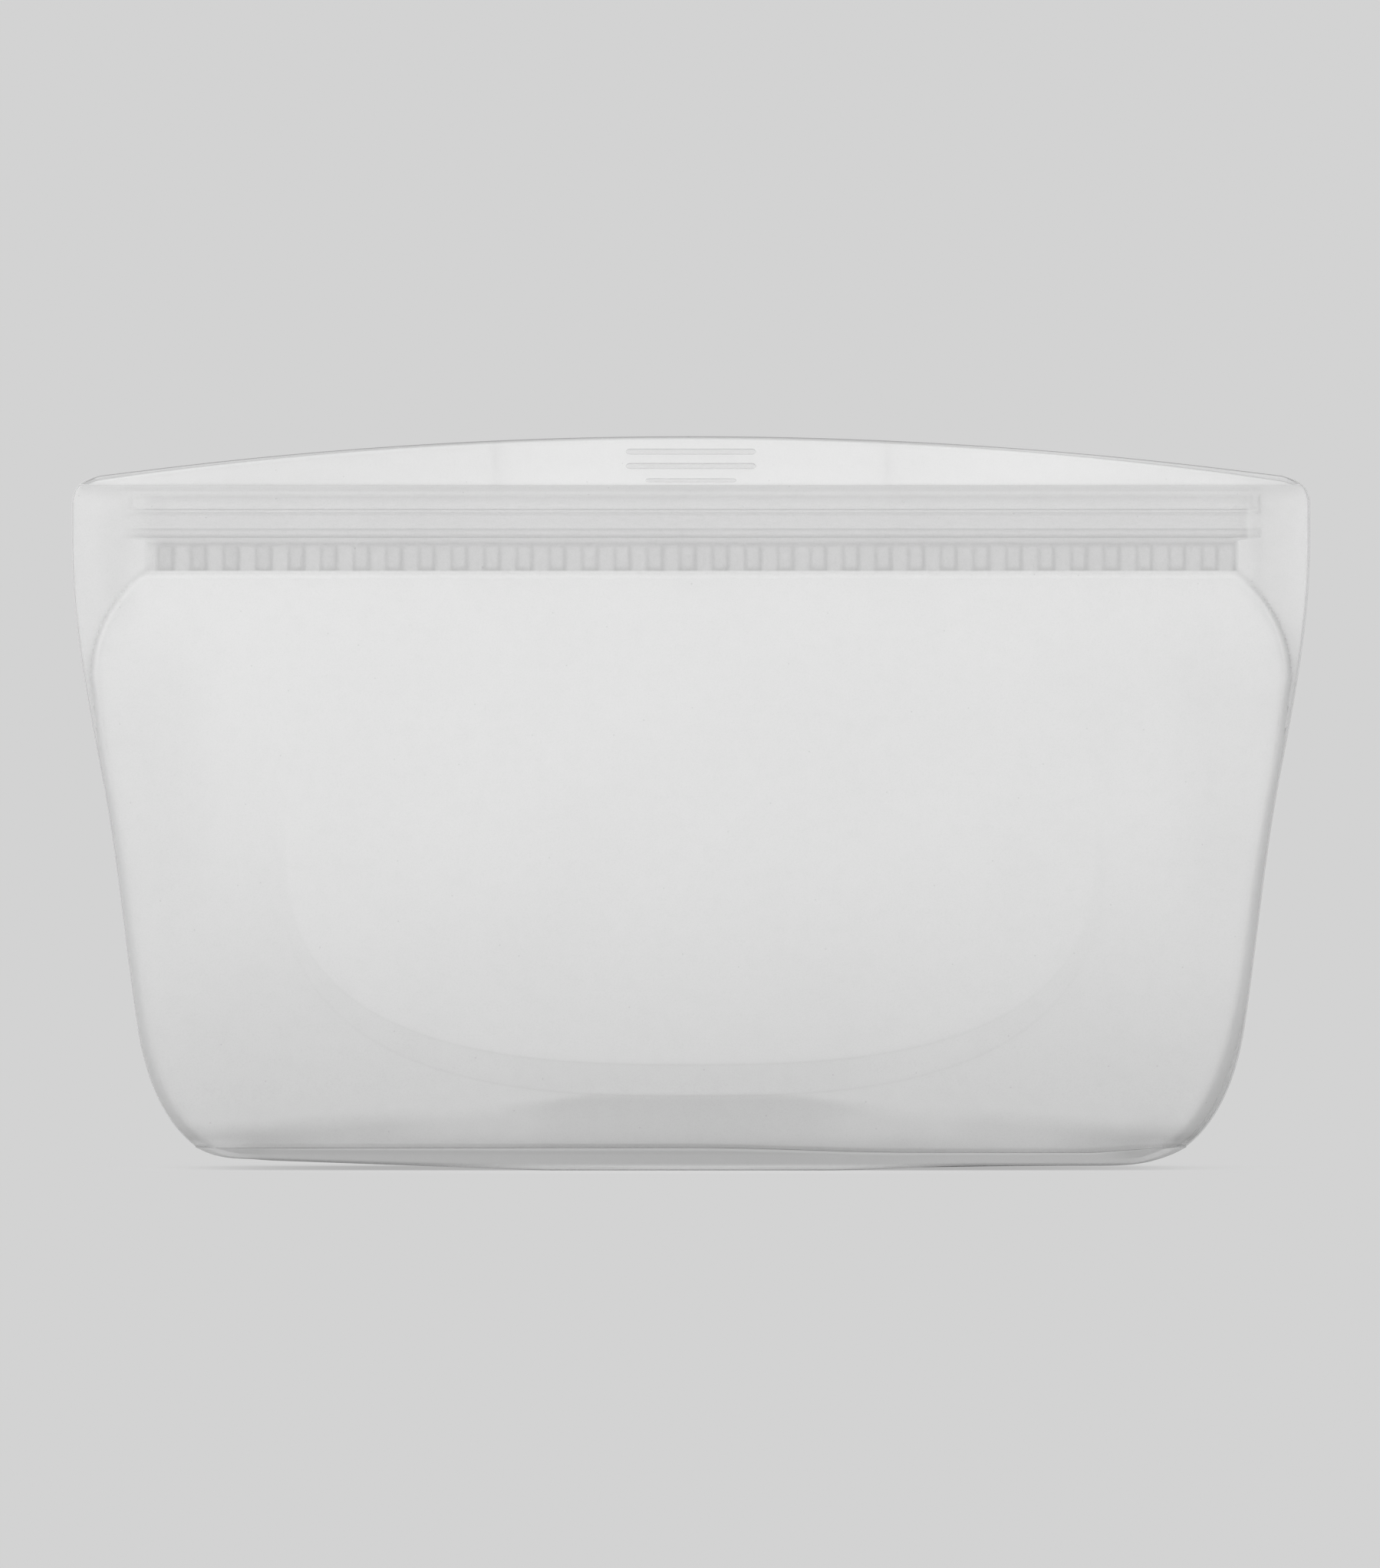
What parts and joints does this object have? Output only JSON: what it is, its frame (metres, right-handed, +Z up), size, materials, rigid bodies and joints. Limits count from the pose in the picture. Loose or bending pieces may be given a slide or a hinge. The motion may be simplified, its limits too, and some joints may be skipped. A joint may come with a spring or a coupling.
{
  "type": "reusable silicone bag",
  "caption": "Low silicone food bag with a flat base, press zip, tooth strip and ribbed lips; both walls hinge at the base to open the mouth, and the lip tabs peel outward.",
  "frame": {"origin": "middle of the base's underside, on the table", "axes": "+X along the bag's width, to the right in the front view; -Y towards the front wall; +Z up"},
  "size_m": [0.19, 0.0224, 0.1123],
  "materials": {
    "wall_silicone": "frosted translucent silicone",
    "base_silicone": "frosted silicone",
    "zip_silicone": "smooth silicone"
  },
  "bodies": {
    "base": {"base_panel": "base_silicone", "left_side_seam": "wall_silicone", "right_side_seam": "wall_silicone", "left_corner_web": "wall_silicone", "right_corner_web": "wall_silicone"},
    "front_side": {"front_wall": "wall_silicone", "front_zip_band": "wall_silicone", "front_zip_upper_rib": "zip_silicone", "front_zip_lower_rib": "zip_silicone", "front_tooth_strip": "zip_silicone", "front_lip_left": "wall_silicone", "front_lip_right": "wall_silicone"},
    "back_side": {"back_wall": "wall_silicone", "back_zip_band": "wall_silicone", "back_zip_upper_rail": "zip_silicone", "back_zip_lower_rail": "zip_silicone", "left_zip_end_stop": "zip_silicone", "right_zip_end_stop": "zip_silicone", "back_tooth_strip": "zip_silicone", "back_lip_left": "wall_silicone", "back_lip_right": "wall_silicone"},
    "front_tab": {"front_pull_tab": "wall_silicone", "front_grip_rib_1": "wall_silicone", "front_grip_rib_2": "wall_silicone", "front_grip_rib_3": "wall_silicone"},
    "back_tab": {"back_pull_tab": "wall_silicone", "back_grip_rib_1": "wall_silicone", "back_grip_rib_2": "wall_silicone", "back_grip_rib_3": "wall_silicone"}
  },
  "joints": [
    {"name": "front_wall_open", "type": "hinge", "parent": "base", "child": "front_side", "pos_m": [0, -0.0093, 0.0037], "axis": [1, 0, 0], "range_deg": [0, 14], "stiffness_Nm_per_rad": 0.03},
    {"name": "back_wall_open", "type": "hinge", "parent": "base", "child": "back_side", "pos_m": [0, 0.0093, 0.0037], "axis": [-1, 0, 0], "range_deg": [0, 14], "stiffness_Nm_per_rad": 0.03},
    {"name": "front_tab_peel", "type": "hinge", "parent": "front_side", "child": "front_tab", "pos_m": [0, -0.0026, 0.10495], "axis": [1, 0, 0], "range_deg": [0, 60], "stiffness_Nm_per_rad": 0.002},
    {"name": "back_tab_peel", "type": "hinge", "parent": "back_side", "child": "back_tab", "pos_m": [0, 0.0026, 0.10495], "axis": [-1, 0, 0], "range_deg": [0, 60], "stiffness_Nm_per_rad": 0.002}
  ]
}
